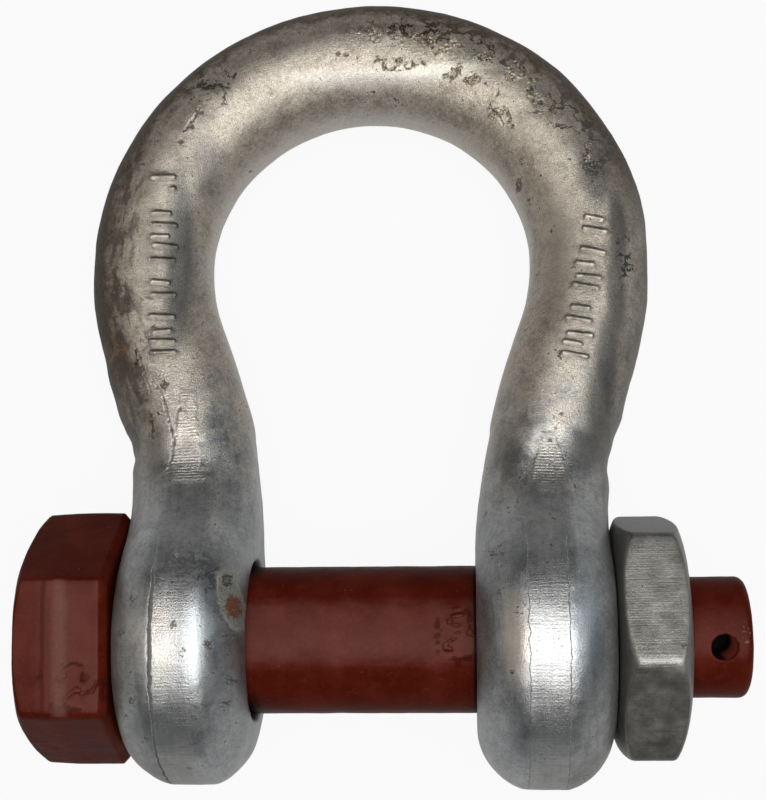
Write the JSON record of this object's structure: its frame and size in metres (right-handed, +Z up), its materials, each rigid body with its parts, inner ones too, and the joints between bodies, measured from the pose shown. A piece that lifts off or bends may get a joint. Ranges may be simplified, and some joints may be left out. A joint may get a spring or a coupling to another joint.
{
  "type": "bow shackle",
  "caption": "Forged galvanised bow shackle with a painted hex-headed bolt through its two eyes and a thin hex nut, lying on its side.",
  "frame": {"origin": "middle of the bolt's bearing length, on its axis, halfway between the ears", "axes": "+X along the bolt from the head to the nut, +Y towards the crown of the bow, +Z up as it lies on its side"},
  "size_m": [0.2035, 0.2411, 0.0844],
  "materials": {
    "galvanised_forging": "hot-dip galvanised, weathered",
    "red_paint": "red-brown paint over a forged and turned bolt",
    "plain_zinc": "dull zinc plate"
  },
  "bodies": {
    "bow": {"bow": "galvanised_forging"},
    "bolt": {"bolt": "red_paint"},
    "nut": {"nut": "plain_zinc"}
  },
  "joints": [
    {"name": "bolt_turn", "type": "hinge", "parent": "bow", "child": "bolt", "pos_m": [0, 0, 0], "axis": [-1, 0, 0], "range_deg": [0, 1800]},
    {"name": "nut_travel", "type": "slide", "parent": "bow", "child": "nut", "axis": [1, 0, 0], "range_m": [0, 0.02]}
  ],
  "couplings": [
    {"joint": "nut_travel", "follows": "bolt_turn", "m_per_rad": 0.00063662}
  ]
}
